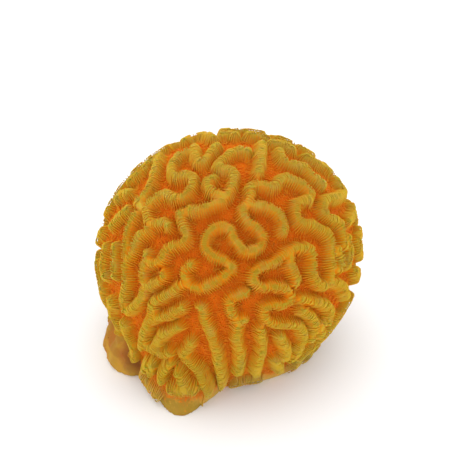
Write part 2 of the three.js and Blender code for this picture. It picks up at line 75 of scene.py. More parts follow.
# The ridges: spacing, how much of them the left toe has, the heights between which they rise from the cut,
# and the rows of pixels where their crests were seen
RIDGE_SPACING = 0.0097
LEFT_TOE_RELIEF = 0.3
RIDGE_FADE = (-0.003, 0.010)
CREST_ROUTES = {
    "long_meander": [
        (191, 264), (184, 268), (182.5, 275), (186, 284), (197, 290), (209, 285.5), (218, 281),
        (227, 275), (233, 268.5), (228, 262), (221, 258), (213.5, 255.5), (208.5, 252), (204, 245),
        (205, 237), (210, 229), (216, 225), (224, 224.5), (230.5, 228), (233.5, 235), (238, 241.5),
        (242.5, 247.5), (248, 250.5), (255, 249), (262, 245), (265, 239), (264.5, 233.5), (260, 227.5),
        (254, 223), (249, 220), (245, 214.5), (244, 206.5), (248, 200.5), (252, 193), (250.5, 187),
        (255.5, 181.5), (261.5, 181), (268, 183), (275, 184), (279, 180), (283, 175.5), (288.5, 174),
        (293, 176), (302, 179.5), (308, 184), (313, 189), (313, 195), (307, 198), (300.5, 201),
        (298.5, 207), (299.5, 214), (303, 220), (308, 222.5), (315.5, 222.5), (323.5, 228), (330, 231.5),
        (334, 237), (335.5, 244), (336, 254), (336, 264), (336, 274), (334, 281), (330, 285.5),
        (324.5, 285.5), (319, 282), (316.5, 276), (316, 266), (316, 257), (314, 250), (309, 246.5),
        (302, 247), (294.5, 248), (290, 251.5), (283, 256.5), (276.5, 261.5), (268, 265), (260.5, 269),
        (255.5, 273), (255, 280), (258.5, 285.5), (265, 288), (274, 286.5), (282.5, 287), (289, 290.5),
        (293.5, 296), (292.5, 302), (286, 306), (279, 306), (271.5, 307), (266.5, 311), (266.5, 318),
        (272, 324), (281, 326.5), (291, 326.5), (299, 327), (304.5, 331.5), (306.5, 337.5), (306, 344),
        (303, 350.5), (299, 358), (294, 363),
    ],
    "upper_eye": [
        (248, 201), (255, 202), (262, 202.5), (269, 204.5), (278, 209), (283, 215), (286, 224),
        (285, 230),
    ],
    "inner_branch": [
        (293, 249), (293.5, 256), (293.5, 262), (295, 268), (298, 274), (300, 280), (299, 284),
    ],
    "right_finger": [
        (304, 300), (311, 302), (320, 303), (327, 305), (332, 308), (334, 313), (333, 319), (331.5, 325),
    ],
    "lower_right_arc": [(304, 311), (311, 315), (316, 321), (318.5, 328.5), (317.5, 336), (315, 342)],
    "lower_right_edge": [(327, 325), (324, 338)],
    "lower_rib_a": [(282, 338), (285, 345), (289, 351), (289.5, 358), (287, 364)],
    "short_rib": [(278, 364.5), (281.5, 370), (282.5, 375.5)],
    "lower_rib_b": [
        (262.5, 331), (263, 339), (264, 347), (262.5, 356), (261, 363), (259, 370), (257.5, 379),
    ],
    "hooked_rib": [
        (247, 294), (240, 297), (233, 300), (229.5, 304), (231, 311), (234, 317), (237, 323), (240, 326),
        (238.5, 332), (237.5, 340), (238.5, 347), (240.5, 355), (240.5, 363), (240.5, 371), (239, 378),
    ],
    "hooked_rib_knob": [(240, 326), (244, 322)],
    "long_rib": [
        (200, 309), (202.5, 315), (204, 322), (207.5, 329.5), (211, 337), (213, 344), (215.5, 351.5),
        (218, 359), (218.5, 366), (220, 373.5), (221, 381), (221.5, 388), (221.5, 394.5),
    ],
    "front_v": [
        (190, 344), (186, 352), (180, 358), (186, 364.5), (192, 370.5), (197.5, 376.5), (200.5, 384.5),
        (202, 391), (205, 398), (206.5, 405),
    ],
    "left_sweep": [
        (184, 283), (177, 287.5), (169.5, 293.5), (160.5, 298), (152, 302.5), (149, 309), (149, 317),
        (145, 325.5), (141.5, 334.5), (139, 343), (138, 350),
    ],
    "small_arm": [(181, 309), (175, 312), (168, 316.5), (160, 318.5), (152, 321), (147, 323)],
    "front_c": [(177, 329), (173, 331), (166, 334.5), (160, 337.5), (156.5, 343), (152, 350), (151, 354)],
    "front_c_arm": [(143, 351), (152, 355), (162, 358.5), (167, 357)],
    "toe_rib_a": [(143, 369), (141, 374)],
    "toe_rib_b": [(149, 369), (146, 378)],
    "toe_rib_c": [(168, 368), (160, 377), (158, 386)],
    "toe_rib_d": [(176, 378), (178, 386), (180, 392)],
    "toe_fold": [(166, 402), (177, 405), (190, 404)],
    "west_meander": [
        (248, 147), (240, 146), (231, 149), (225, 154), (220, 159), (217.5, 163.5), (221, 164),
        (227.5, 165.5), (233, 168.5), (234.5, 174), (233.5, 180), (230.5, 187.5), (226, 193.5),
        (221, 199), (212, 202), (205, 205), (196, 207), (185, 208.5), (178.5, 212), (180, 218),
        (182, 225), (185, 232), (184.5, 238.5), (179.5, 242), (172, 245), (166, 247.5), (162.5, 252),
        (160, 258), (154.5, 262), (148, 263), (143, 260.5), (140, 268.5), (139, 276), (140, 283),
        (144.5, 287), (151, 285), (157.5, 281), (162, 276), (160, 272.5),
    ],
    "west_stub": [(143, 260.5), (144, 253)],
    "west_lower": [(141, 289), (139.5, 296), (136, 302), (130, 308.5), (124, 313)],
    "small_hook": [(213, 175), (207, 178), (208, 184), (212, 189), (219, 191), (226, 193)],
    "hairpin": [
        (187, 147), (178, 151), (173, 156), (170, 163), (170, 170), (174.5, 173.5), (181, 172),
        (188.5, 172), (192.5, 177), (190.5, 184), (187.5, 189.5), (181, 195), (173, 195.5), (166, 192),
        (160, 192), (154.5, 195), (148.5, 199), (143.5, 205), (144.5, 212.5), (145.5, 220), (145.5, 227),
        (141, 232), (135.5, 235.5), (132.5, 241.5), (131, 248), (126.5, 255.5), (122.5, 261.5),
        (121.5, 269), (122, 276), (122, 283.5), (121, 291), (120, 298), (119.5, 305), (121, 311),
    ],
    "hairpin_arm": [(145.5, 222), (154, 222), (162, 221), (166, 224)],
    "west_rib": [
        (133, 212), (127.5, 220), (124.5, 227.5), (123, 235), (122.5, 243), (121.5, 251), (122, 258),
    ],
    "top_fork": [(193, 144), (195, 153), (199, 159), (205, 156), (210, 149), (216, 142)],
    "west_edge_a": [
        (157, 153), (153, 167), (150, 176), (147, 184), (144, 190), (138, 195), (135, 200), (138, 205),
    ],
    "west_edge_b": [(150, 156), (146, 160), (142, 165)],
    "west_edge_h": [(136, 171), (131, 175), (127, 179)],
    "west_edge_c": [(126, 190), (118, 192), (114, 197)],
    "west_edge_d": [(124, 208), (115, 216), (108, 225)],
    "west_edge_e": [(99, 229), (93, 240)],
    "west_edge_f": [(102, 246), (99.5, 256), (98, 266), (101, 277)],
    "west_edge_g": [(111, 246), (110.5, 256), (110, 266), (111, 276)],
    "far_edge_a": [(184, 137), (192, 132), (205, 131), (213, 134)],
    "far_edge_b": [(220, 131), (228, 130), (236, 131)],
    "far_edge_c": [(250, 131), (258, 132), (268, 134)],
    "far_rib": [(263, 140), (262, 150), (262, 160), (259, 170)],
    "upper_right_a": [
        (281, 147), (284, 155), (293, 160), (306, 163), (311, 168), (316, 174), (322, 177), (326, 181),
    ],
    "upper_right_b": [(274, 139), (287, 141), (295, 146)],
    "upper_right_c": [(308, 153), (318, 159), (325, 163), (330, 167)],
    "east_meander": [
        (340, 178), (344, 184), (347, 190), (344, 194), (337, 195.5), (330, 197.5), (326.5, 202),
        (326.5, 207), (329, 212), (335, 217), (341, 220), (345, 224), (347, 230), (348, 237), (349, 245),
    ],
    "east_edge_a": [(342, 249), (344.5, 256), (345, 264), (343, 270)],
    "east_edge_b": [(356, 205), (357, 212), (352, 220)],
    "east_edge_c": [(352, 237), (353.5, 244), (355, 251), (353, 258), (352, 264)],
    "east_lower": [(336, 282), (342, 284), (347, 287), (349, 292), (351, 297)],
}
ROUTE_STEPS = 16

# How far a drawn crest rules the surface, and where the grown pattern takes over, in spacings
DRAWN_REACH = (0.62, 0.85)

# The grown pattern: points, rounds, and how strongly a ridge feeds itself and starves its neighbours
GROWTH_POINTS = 13000
GROWTH_ROUNDS = 40
GROWTH_GAIN = 4.2
NEAR_SPREAD = 0.153 * RIDGE_SPACING
FAR_SPREAD = 2 * NEAR_SPREAD
FAR_REACH = 2.8 * FAR_SPREAD
UPRIGHT_BELOW = (0.014, 0.034)
SEED_WAVES = 7
WAVE_TURN = 2.399963
WAVE_SHIFT = 1.7

# How the grown pattern is read between its points
READ_REACH = 3 * NEAR_SPREAD
READ_STRENGTH = 1.25

# How rays are stepped onto the body, how its slope is read, and how far a height follows its lean
TRACE_STEPS = 40
START_REACH = 0.1
RAY_CAUTION = 0.9
TRACED_HEIGHT = 0.0044
SLOPE_STEP = 0.0002
LEAST_LEAN = 0.6

# Over what difference in distance a toe takes over from the rest of the colony
TOE_EDGE = (-0.001, 0.003)

# Paths of the blades: how finely they are walked, how firmly they keep to the slope, where they stop
WALK_STEP = 0.0004
WALK_REACH = 0.4
WALK_GRIP = 0.0016
WALK_END = 0.985
CREST_OVERRUN = 4
BLADE_POINTS = 10
SHORTEST_BLADE = 0.0015
LOWEST_BLADE = 0.0012
LEAST_RELIEF = 0.15
MOST_TOE = 0.5
BLADE_PIECES = 4

# How far the blades stand out of the walls, and how much they vary from blade to blade and along a blade
LEAST_STAND = 0.0005
FULL_STAND = 0.0009
LOW_RELIEF_STAND = 0.3
ROOT_DEPTH = 0.25
EDGE_THINNING = 0.6
BLADE_SEED = 7
BLADE_VARIETY = (0.6, 1.1)
POINT_VARIETY = (0.8, 1.1)

# Where on the ridge pattern the skin's walls and the blades' edges climb
WALL_CLIMB = (-0.35, 0.95)
BLADE_CLIMB = (-0.85, 0.85)

# Grains: where on the ridge pattern and how high over the cut they thin out, how their sizes vary, and
# between which heights of a grain its tip begins
GRAIN_RIDGE = (-0.6, 0.1)
GRAIN_RISE = (0, 0.001)
GRAIN_VARIETY = (0.6, 1.25)
GRAIN_TIP = (0.4, 1.6)
GRAIN_SEED = 3

# The spongy skin between the blades: its span, and where on the ridge pattern it calms to a share
SPONGE_SPAN = 0.0008
SPONGE_CALM = (-0.4, 0.6)
CREST_SPONGE = 0.3

# How unevenly the ridges swell, and the soft lumps of the left toe
UNEVENNESS = 0.3
UNEVEN_SPAN = 0.0026
LUMP_SPAN = 0.006
LUMP_HEIGHT = 0.0012

# The middle of the side that was seen, where the colony is the most orange
FACE_MIDDLE = (0, -0.042, 0.07)

# The darkest part of the crease between the toes: the centre of the painted shade there
CREASE_SHADE_CENTRE = (-0.038, -0.026, 0.011)

# Mottling of the finish: scale, detail and roughness of each noise
MOTTLE_NOISE = (900, 4, 0.6)
PATCH_NOISE = (160, 3, 0.6)
TOE_NOISE = (170, 2)
# PIT_NOISE places the painted shade of small pits
PIT_NOISE = (380, 1)
FINE_NOISE = (2600, 3, 0.6)
MOTTLE_GRAIN = 0.7

# What shifts a place along the colour ramp: the range that is read, and the shift at its ends
MOTTLE_SHIFT = (0.25, 0.75, -0.4, 0.0)
PATCH_SHIFT = (0.3, 0.7, -0.1, 0.1)
AWAY_SHIFT = (0.02, 0.06, -0.04, 0.24)
SHADE_SHIFT = 0.14
TIP_SHIFT = 0.36
CREST_LEAST = (0.8, 1.0, 0.0, 0.9)
RAMP_STOPS = (0.0, 0.35, 0.68, 0.95)

# Where each further colour shows: the range that is read, the share at its ends, or its share in all
PALE_PATCH = (0.5, 0.72)
PALE_RIDGE = (0.3, 0.9)
PALE_SHARE = 0.45
FAR_HEIGHT = (0.07, 0.1)
FAR_RIDGE = (0.2, 0.9)
FAR_SHARE = 0.2
SPECK_RIDGE = (0.3, 0.6, 0.5, 0.0)
TIP_RIDGE = (0.4, 0.8, 0.0, 0.5)
RAGGED_HEIGHT = (0.25, 0.75, -0.006, 0.006)
WORN_HEIGHT = (0.014, 0.004)
WORN_RIDGE = (0.0, 0.6, 0.2, 0.7)
TOE_HEIGHT = (0.012, 0.003, 0.0, 0.3)
TOE_SWELL = (0.5, 0.75)
TOE_SHARE = 0.85
# Painted shade in the crease between the toes: distances from its darkest part, and the share there
CREASE_SHADE_REACH = (0.004, 0.011, 0.9, 0.0)
BARE_HEIGHT = (0.0095, 0.004)
# Painted shade of small pits: the noise range over which it darkens, and its share
PIT_EDGE = (0.27, 0.22)
PIT_SHARE = 0.4

# The finish: how deep its grain looks on the skin and on the small pieces, and how rough it is
SKIN_GRAIN = 0.0002
SMALL_GRAIN = 0.0001
ROUGH_RANGE = (0.5, 1.1, 0.62, 0.86)

# The stage: half the floor's width, the camera's sensor in millimetres, the light of the room, and soft
# lamps as name, place, size and power
FLOOR_REACH = 3.0
SENSOR_WIDTH = 36
WORLD_LIGHT = 1.12
LIGHTS = (
    ("overhead", (-0.05, 0.1, 0.8), 0.8, 1.6),
    ("front", (-0.05, -0.85, 0.4), 0.6, 1.8),
)


def smooth(value, low, high):
    t = np.clip((value - low) / (high - low), 0, 1)
    return t * t * (3 - 2 * t)


def lerp(a, b, share):
    return a + (b - a) * share


def unit(vectors):
    return vectors / np.maximum(np.linalg.norm(vectors, axis=-1, keepdims=True), 1e-12)


def lobe_distance(lobe, points):
    """Distance to one ellipsoid, near enough to blend and to step along."""
    centre, radii, turn = np.array(lobe[0]), np.array(lobe[1]), lobe[2]
    x, y, z = (points - centre).T
    level, rise = math.cos(turn), math.sin(turn)
    q = np.stack([level * x + rise * z, y, level * z - rise * x], axis=1) / radii
    reach = np.linalg.norm(q, axis=-1)
    return reach * (reach - 1) / np.maximum(np.linalg.norm(q / radii, axis=-1), 1e-9)


def blend(distances, width):
    return -width * np.log(sum(np.exp(-d / width) for d in distances))


def body_distance(points):
    """The body below its ridges: soft between dome, stalk, front toe and foot, creased at the left toe."""
    main = blend([lobe_distance(lobe, points) for lobe in MAIN_LOBES + (FOOT,)], SOFT_BLEND)
    notched = -blend([-main, lobe_distance(NOTCH, points)], NOTCH_BLEND)
    return blend([notched, lobe_distance(LEFT_TOE, points)], SHARP_BLEND)


def body_points(directions):
    """Where rays from the heart of the colony leave the body."""
    points = np.repeat(HEART[None], len(directions), axis=0)
    for _ in range(TRACE_STEPS):
        points = points - directions * body_distance(points)[:, None]
    return points


def pixel_points(pixels):
    """Body points under pixels: each ray stops at the ridge tops, then drops to the body."""
    offset = (pixels - PICTURE_MIDDLE) * PIXEL
    target = AIM - VIEW_UP * offset[:, 1:2]
    target[:, 0] += offset[:, 0]
    eye = AIM + VIEW_BACK * EYE_DISTANCE
    rays = unit(target - eye)
    points = eye + rays * (EYE_DISTANCE - START_REACH)
    nearest = points.copy()
    least = np.full(len(points), np.inf)
    for _ in range(TRACE_STEPS):
        gap = body_distance(points) - TRACED_HEIGHT
        closer = gap < least
        least[closer] = gap[closer]
        nearest[closer] = points[closer]
        points = points + rays * (np.maximum(gap, 0) * RAY_CAUTION)[:, None]
    return body_points(unit(nearest - HEART))


def curve_points(route):
    """A smooth curve through a route, in equal parts between its points."""
    knots = np.array(route, float)
    knots = np.vstack([2 * knots[0] - knots[1], knots, 2 * knots[-1] - knots[-2]])
    share = (np.arange(ROUTE_STEPS) / ROUTE_STEPS)[:, None]
    spans = []
    for before, start, end, after in zip(knots, knots[1:], knots[2:], knots[3:]):
        leave, arrive = (end - before) / 2, (after - start) / 2
        bend = -3 * start + 3 * end - 2 * leave - arrive
        twist = 2 * start - 2 * end + leave + arrive
        spans.append(start + leave * share + bend * share ** 2 + twist * share ** 3)
    return np.vstack(spans + [knots[-2:-1]])


def point_tree(points):
    tree = kdtree.KDTree(len(points))
    for i, p in enumerate(points):
        tree.insert(p, i)
    tree.balance()
    return tree


def across_ridge(distance):
    """A ridge across: 1 on its crest, -1 in the valleys beside it."""
    return np.cos(math.pi * np.minimum(2 * distance / RIDGE_SPACING, 1))


def drawn_share(distance):
    """How much the drawn crests rule a place."""
    return 1 - smooth(distance / RIDGE_SPACING, *DRAWN_REACH)


def seed_wave(points):
    """The first state of the grown pattern: crossing waves above, upright ribs towards the foot."""
    wave = np.zeros(len(points))
    for i in range(SEED_WAVES):
        turn = i * WAVE_TURN
        lift = (i + 0.5) * 2 / SEED_WAVES - 1
        side = math.sqrt(1 - lift * lift)
        along = points @ np.array([side * math.cos(turn), side * math.sin(turn), lift])
        wave += np.sin(2 * math.pi * along / RIDGE_SPACING + WAVE_SHIFT * i)
    ribs = round(2 * math.pi * DOME[1][0] / RIDGE_SPACING)
    upright = np.sin(ribs * np.arctan2(points[:, 1], points[:, 0]))
    return lerp(upright, wave / 2, smooth(points[:, 2], *UPRIGHT_BELOW))


class RidgePattern:
    """The ridges as a field on the body: drawn where they were seen, grown where they were not."""

    def __init__(self):
        crests = np.vstack([curve_points(route) for route in CREST_ROUTES.values()])
        self.crest_tree = point_tree(pixel_points(crests))
        self.grow()

    def crest_distance(self, points):
        found = np.array([self.crest_tree.find(p)[2] for p in points])
        return np.minimum(found, RIDGE_SPACING)

    def grow(self):
        i = np.arange(GROWTH_POINTS)
        lift = 1 - (2 * i + 1) / GROWTH_POINTS
        side = np.sqrt(1 - lift * lift)
        turn = i * math.pi * (3 - math.sqrt(5))
        points = body_points(np.stack([side * np.cos(turn), side * np.sin(turn), lift], axis=1))
        points = points[points[:, 2] > -FAR_SPREAD]
        self.tree = point_tree(points)
        links = [self.tree.find_range(p, FAR_REACH) for p in points]
        counts = np.array([len(found) for found in links])
        index = np.array([hit[1] for found in links for hit in found])
        distance = np.array([hit[2] for found in links for hit in found])
        starts = np.concatenate([[0], np.cumsum(counts)[:-1]])

        def share(spread):
            weight = np.exp(-((distance / spread) ** 2) / 2)
            return weight / np.repeat(np.add.reduceat(weight, starts), counts)

        weight = share(NEAR_SPREAD) - share(FAR_SPREAD)
        crest = self.crest_distance(points)
        drawn, ruled = across_ridge(crest), drawn_share(crest)
        state = lerp(seed_wave(points), drawn, ruled)
        for _ in range(GROWTH_ROUNDS):
            push = np.add.reduceat(weight * state[index], starts)
            state = lerp(np.tanh(GROWTH_GAIN * push), drawn, ruled)
        self.state = state

    def ridge_at(self, points):
        """The ridge pattern at body points, from -1 in the valleys to 1 on the crests."""
        grown = np.zeros(len(points))
        for i, p in enumerate(points):
            found = self.tree.find_range(p, READ_REACH)
            if found:
                weight = np.exp(-(np.array([hit[2] for hit in found]) / NEAR_SPREAD) ** 2)
                grown[i] = weight @ self.state[[hit[1] for hit in found]] / weight.sum()
        crest = self.crest_distance(points)
        even = lerp(np.clip(READ_STRENGTH * grown, -1, 1), across_ridge(crest), drawn_share(crest))
        return even + UNEVENNESS * noise_at(points, UNEVEN_SPAN)


def noise_at(points, span):
    """Soft noise from -1 to 1 whose swells are about one span apart."""
    return np.array([noise.noise(Vector(p) / span) for p in points])


def share_of(lobe, points):
    """How much of a place is on one of the toes rather than on the rest of the colony."""
    rest = blend([lobe_distance(other, points) for other in MAIN_LOBES], SOFT_BLEND)
    return smooth(rest - lobe_distance(lobe, points), *TOE_EDGE)


def outward(points):
    """Which way the body faces at a point."""
    shifts = SLOPE_STEP * np.eye(3)
    slope = [body_distance(points + shift) - body_distance(points - shift) for shift in shifts]
    return unit(np.stack(slope, axis=1))


def geodesic(parts):
    """Directions and triangles of a ball whose twenty faces are each cut into parts along every edge."""
    golden = (1 + math.sqrt(5)) / 2
    corners = []
    for a in (-1, 1):
        for b in (-golden, golden):
            corners += [(0, a, b), (a, b, 0), (b, 0, a)]
    corners = unit(np.array(corners, float))
    near = 1.2 * min(np.linalg.norm(corners[0] - c) for c in corners[1:])
    close = np.linalg.norm(corners[:, None] - corners[None], axis=2) < near
    triples = [
        (i, j, k) for i in range(12) for j in range(i + 1, 12) for k in range(j + 1, 12)
        if close[i, j] and close[j, k] and close[i, k]
    ]
    rows, cols = np.meshgrid(np.arange(parts + 1), np.arange(parts + 1), indexing="ij")
    rows, cols = rows[rows + cols <= parts], cols[rows + cols <= parts]
    number = np.full((parts + 2, parts + 2), -1)
    number[rows, cols] = np.arange(len(rows))
    here, right, down = number[rows, cols], number[rows, cols + 1], number[rows + 1, cols]
    across = number[rows + 1, cols + 1]
    upper = np.stack([here, down, right], axis=1)[(right >= 0) & (down >= 0)]
    lower = np.stack([right, down, across], axis=1)[across >= 0]
    cells = np.vstack([upper, lower])
    points, faces = [], []
    for i, j, k in triples:
        if np.linalg.det(corners[[i, j, k]]) < 0:
            j, k = k, j
        share = np.stack([parts - rows - cols, rows, cols], axis=1) / parts
        faces.append(cells + len(points) * len(rows))
        points.append(share @ corners[[i, j, k]])
    points, faces = unit(np.vstack(points)), np.vstack(faces)
    _, first, merged = np.unique(np.round(points, 6), axis=0, return_index=True, return_inverse=True)
    return points[first], merged.reshape(-1)[faces]


def new_mesh(name, points, faces=(), edges=(), fields=None):
    mesh = bpy.data.meshes.new(name)
    mesh.from_pydata(points, edges, faces)
    for field, values in (fields or {}).items():
        vector = np.ndim(values) == 2
        attribute = mesh.attributes.new(field, "FLOAT_VECTOR" if vector else "FLOAT", "POINT")
        attribute.data.foreach_set("vector" if vector else "value", np.ravel(values).astype(np.float32))
    mesh.update()
    return mesh


def new_object(name, mesh):
    piece = bpy.data.objects.new(name, mesh)
    bpy.context.scene.collection.objects.link(piece)
    return piece


class ColonySkin:
    """The ridged skin of the colony: its directions, base points, ridge values and their slopes."""

    def __init__(self, sizes):
        self.sizes = sizes
        self.pattern = RidgePattern()
        self.directions, self.faces = geodesic(sizes.skin_parts)
        self.base = body_points(self.directions)
        self.ridge = self.pattern.ridge_at(self.base)
        self.slope = self.slopes()
        self.tree = point_tree(self.base)

    def slopes(self):
        """How steeply the ridge pattern climbs at each point, from the faces around it."""
        a, b, c = (self.base[self.faces[:, k]] for k in range(3))
        normal = np.cross(b - a, c - a)
        spread = (normal ** 2).sum(axis=1, keepdims=True)
        value = self.ridge[self.faces]
        pull = (value[:, :1] * np.cross(normal, c - b) + value[:, 1:2] * np.cross(normal, a - c)
                + value[:, 2:] * np.cross(normal, b - a)) / spread
        total = np.zeros_like(self.base)
        for k in range(3):
            np.add.at(total, self.faces[:, k], pull)
        count = np.bincount(self.faces.ravel(), minlength=len(self.base))
        return total / count[:, None]

    def relief(self, points):
        """How high the ridges may stand at body points, against their full height."""
        toe = lerp(1, LEFT_TOE_RELIEF, share_of(LEFT_TOE, points))
        return toe * (1 - share_of(FOOT, points)) * smooth(points[:, 2], *RIDGE_FADE)

    def raised(self, directions, base, ridge, extra=0.0):
        """Base points lifted to the ridged surface, and stopped by the flat cut."""
        lean = np.maximum((directions * outward(base)).sum(axis=1), LEAST_LEAN)
        height = self.sizes.ridge_height * self.relief(base) * smooth(ridge, *WALL_CLIMB) + extra
        points = base + directions * (height / lean)[:, None]
        below = points[:, 2] < 0
        reach = HEART[2] / (HEART[2] - points[below, 2])
        points[below] = HEART + (points[below] - HEART) * reach[:, None]
        return points

    def fields(self, base, ridge):
        """Values that colour base points: how high on a ridge they are, and how much on a toe or the foot."""
        deep = 1 - smooth(ridge, *GRAIN_RIDGE)
        return {
            "ridge": (ridge + 1) / 2,
            "toe": share_of(LEFT_TOE, base),
            "foot": share_of(FOOT, base),
            "grain_share": deep * smooth(base[:, 2], *GRAIN_RISE) * self.relief(base) ** 2,
        }

    def mid_lines(self):
        """Closed lines midway up the flanks of the ridges."""
        high = self.ridge > 0
        tally = high[self.faces].sum(axis=1)
        faces = self.faces[(tally == 1) | (tally == 2)]
        lone = np.where((high[faces].sum(axis=1) == 1)[:, None], high[faces], ~high[faces]).argmax(axis=1)
        row = np.arange(len(faces))
        ends = []
        for turn in (1, 2):
            pair = np.stack([faces[row, lone], faces[row, (lone + turn) % 3]], axis=1)
            ends.append(np.sort(pair, axis=1))
        pairs, number = np.unique(np.vstack(ends), axis=0, return_inverse=True)
        number = number.reshape(2, -1)
        a, b = pairs[:, 0], pairs[:, 1]
        share = (self.ridge[a] / (self.ridge[a] - self.ridge[b]))[:, None]
        points = lerp(self.base[a], self.base[b], share)
        links = [[] for _ in pairs]
        for one, other in number.T:
            links[one].append(other)
            links[other].append(one)
        waiting = dict.fromkeys(range(len(pairs)))
        lines = []
        while waiting:
            line = [next(iter(waiting))]
            while line[-1] in waiting:
                del waiting[line[-1]]
                line += [n for n in links[line[-1]] if n in waiting][:1]
            lines.append(points[line])
        return lines

    def walk(self, points, sign):
        """Paths up (sign 1) or down (sign -1) the flanks, kept still once they reach the crest or valley."""
        steps = int(RIDGE_SPACING * WALK_REACH / WALK_STEP)
        heading = np.zeros_like(points)
        arrived = np.zeros(len(points), bool)
        spare = np.full(len(points), CREST_OVERRUN if sign > 0 else 0)
        path = []
        for _ in range(steps):
            near = np.array([self.tree.find(p)[1] for p in points])
            climb = sign * self.slope[near]
            arrived |= (sign * self.ridge[near] > WALK_END) | ((climb * heading).sum(axis=1) < 0)
            heading = np.where(arrived[:, None], heading, unit(heading + climb * WALK_GRIP))
            spare = spare - arrived
            points = np.where((spare >= 0)[:, None], points + heading * WALK_STEP, points)
            path.append(points)
        return path

    def flank_paths(self, spacing):
        """Evenly parted base points of paths from valley to crest, a row for each path."""
        starts = np.vstack([spaced_round(line, spacing) for line in self.mid_lines()])
        starts = starts[starts[:, 2] > 0]
        down, up = self.walk(starts, -1), self.walk(starts, 1)
        path = np.stack(down[::-1] + [starts] + up, axis=1)
        length = np.linalg.norm(np.diff(path, axis=1), axis=2).cumsum(axis=1)
        at = np.linspace(0, 1, BLADE_POINTS)
        rows = []
        for line, along in zip(path, length):
            if along[-1] > SHORTEST_BLADE:
                reach = np.concatenate([[0], along])
                rows.append([np.interp(at * reach[-1], reach, line[:, k]) for k in range(3)])
        return np.array(rows).transpose(0, 2, 1)


def spaced_round(line, spacing):
    """Points at equal distances round a closed line."""
    line = np.vstack([line, line[:1]])
    reach = np.concatenate([[0], np.linalg.norm(np.diff(line, axis=0), axis=1).cumsum()])
    count = max(round(reach[-1] / spacing), 1)
    at = np.arange(count) * reach[-1] / count
    return np.stack([np.interp(at, reach, line[:, k]) for k in range(3)], axis=1)


MADE = {}


def colony_skin():
    """The skin, worked out once for all the pieces that need it."""
    if "skin" not in MADE:
        MADE["skin"] = ColonySkin(bpy.context.scene.coral_sizes)
    return MADE["skin"]


def screen_colour(colour):
    """A colour as given on a screen, as the light it stands for, with full cover."""
    return (*(c / 12.92 if c <= 0.04045 else ((c + 0.055) / 1.055) ** 2.4 for c in colour), 1)


class NodeSheet:
    """Short ways to place and join nodes in one tree."""

    def __init__(self, tree):
        self.tree = tree

    def add(self, kind, inputs=None, **settings):
        node = self.tree.nodes.new(kind)
        for name, value in settings.items():
            setattr(node, name, value)
        for name, value in (inputs or {}).items():
            self.feed(node.inputs[name], value)
        return node

    def feed(self, socket, value):
        if isinstance(value, bpy.types.NodeSocket):
            self.tree.links.new(value, socket)
        else:
            socket.default_value = value

    def math(self, operation, a, b=0.0, clamp=False):
        node = self.add("ShaderNodeMath", {0: a, 1: b}, operation=operation, use_clamp=clamp)
        return node.outputs[0]

    def plus(self, a, b):
        return self.math("ADD", a, b)

    def times(self, a, b):
        return self.math("MULTIPLY", a, b)

    def distance(self, a, b):
        return self.add("ShaderNodeVectorMath", {0: a, 1: b}, operation="DISTANCE").outputs["Value"]

    def spread(self, value, low, high, to_low=0.0, to_high=1.0):
        node = self.add("ShaderNodeMapRange", {"Value": value, "From Min": low, "From Max": high,
                                               "To Min": to_low, "To Max": to_high})
        return node.outputs["Result"]

    def mix(self, share, a, b):
        node = self.add("ShaderNodeMix", data_type="RGBA")
        self.feed(node.inputs[0], share)
        self.feed(node.inputs[6], a)
        self.feed(node.inputs[7], b)
        return node.outputs[2]

    def noise(self, place, scale, detail=2.0, roughness=0.5):
        node = self.add("ShaderNodeTexNoise", {"Vector": place, "Scale": scale, "Detail": detail,
                                               "Roughness": roughness})
        return node.outputs["Fac"]

    def read(self, name, kind="FLOAT"):
        node = self.add("GeometryNodeInputNamedAttribute", {"Name": name}, data_type=kind)
        return node.outputs["Attribute"]

    def position(self, axis):
        place = self.add("GeometryNodeInputPosition").outputs[0]
        return self.add("ShaderNodeSeparateXYZ", {0: place}).outputs[axis]

    def mark_tips(self, geometry, value):
        inputs = {"Geometry": geometry, "Name": "tip", "Value": value}
        node = self.add("GeometryNodeStoreNamedAttribute", inputs, data_type="FLOAT", domain="POINT")
        return node.outputs[0]

    def end_with(self, wanted, geometry, material):
        """Ends a tree of repeated shapes: one plain mesh in its material."""
        plain = self.add("GeometryNodeRealizeInstances", {"Geometry": geometry}).outputs[0]
        dressed = self.add("GeometryNodeSetMaterial", {"Geometry": plain, "Material": material}).outputs[0]
        self.feed(wanted["Geometry"], dressed)


def new_group(name, tree_type, inputs, outputs):
    """A node group with named sockets, and its sheet, input node and output node."""
    tree = bpy.data.node_groups.new(name, tree_type)
    for socket, (kind, default) in inputs.items():
        item = tree.interface.new_socket(socket, in_out="INPUT", socket_type=kind)
        if default is not None:
            item.default_value = default
    for socket, kind in outputs.items():
        tree.interface.new_socket(socket, in_out="OUTPUT", socket_type=kind)
    sheet = NodeSheet(tree)
    return tree, sheet, sheet.add("NodeGroupInput").outputs, sheet.add("NodeGroupOutput").inputs


